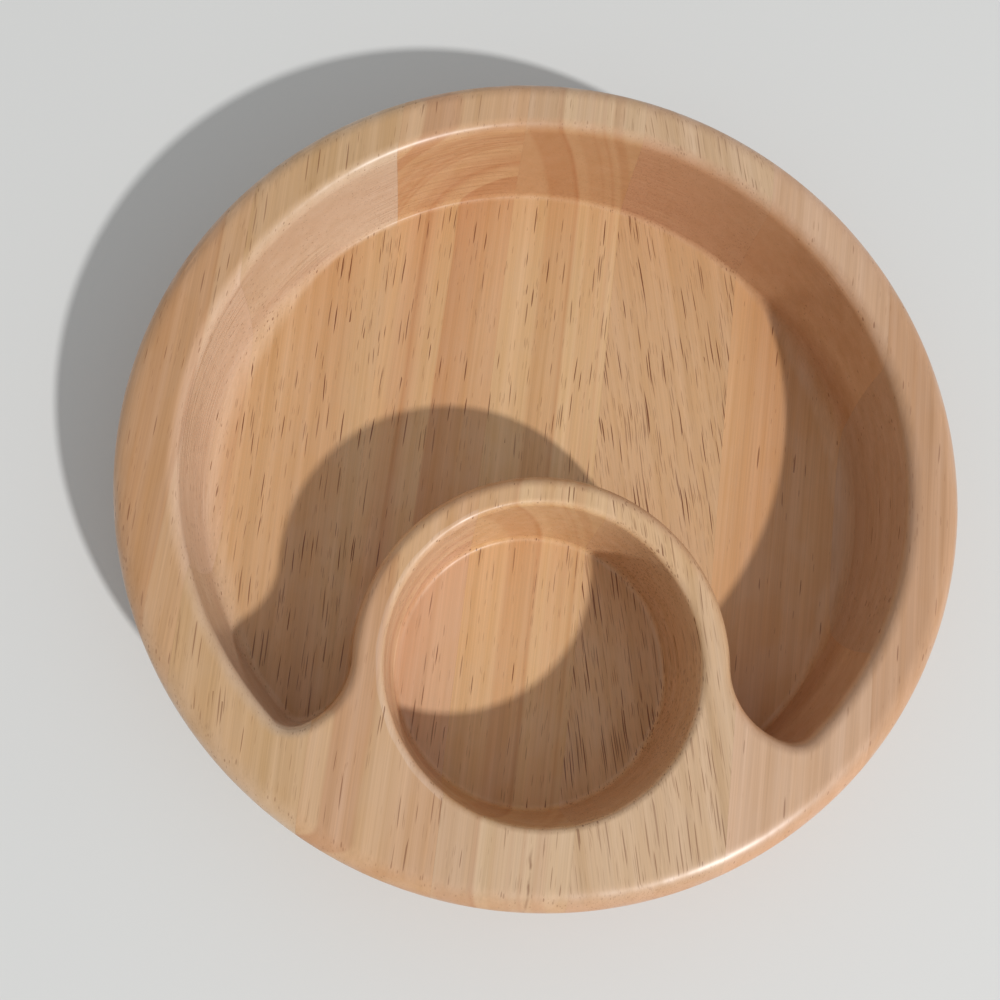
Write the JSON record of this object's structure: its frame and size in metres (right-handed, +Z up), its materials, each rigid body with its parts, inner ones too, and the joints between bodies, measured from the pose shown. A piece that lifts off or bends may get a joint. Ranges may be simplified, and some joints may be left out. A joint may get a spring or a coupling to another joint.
{
  "type": "chip and dip bowl",
  "caption": "Round wooden serving bowl with a crescent chip compartment and a built-in round dip well, carved from a blank of glued staves.",
  "frame": {"origin": "centre of the flat base, on the surface the bowl stands on", "axes": "+Z up along the bowl's axis, -Y from the axis towards the dip well, +X to the right when the dip well is nearest"},
  "size_m": [0.3, 0.3, 0.0595],
  "materials": {
    "reddish_wood": "satin clear lacquer",
    "warm_wood": "satin clear lacquer",
    "orange_wood": "satin clear lacquer",
    "pale_wood": "satin clear lacquer",
    "open_pored_wood": "satin clear lacquer",
    "smooth_wood": "satin clear lacquer",
    "pinkish_wood": "satin clear lacquer"
  },
  "bodies": {
    "root": {"left_rim_stave": "reddish_wood", "left_stave": "warm_wood", "left_center_stave": "orange_wood", "center_stave": "pale_wood", "right_center_stave": "open_pored_wood", "right_stave": "smooth_wood", "right_rim_stave": "pinkish_wood"}
  },
  "joints": []
}
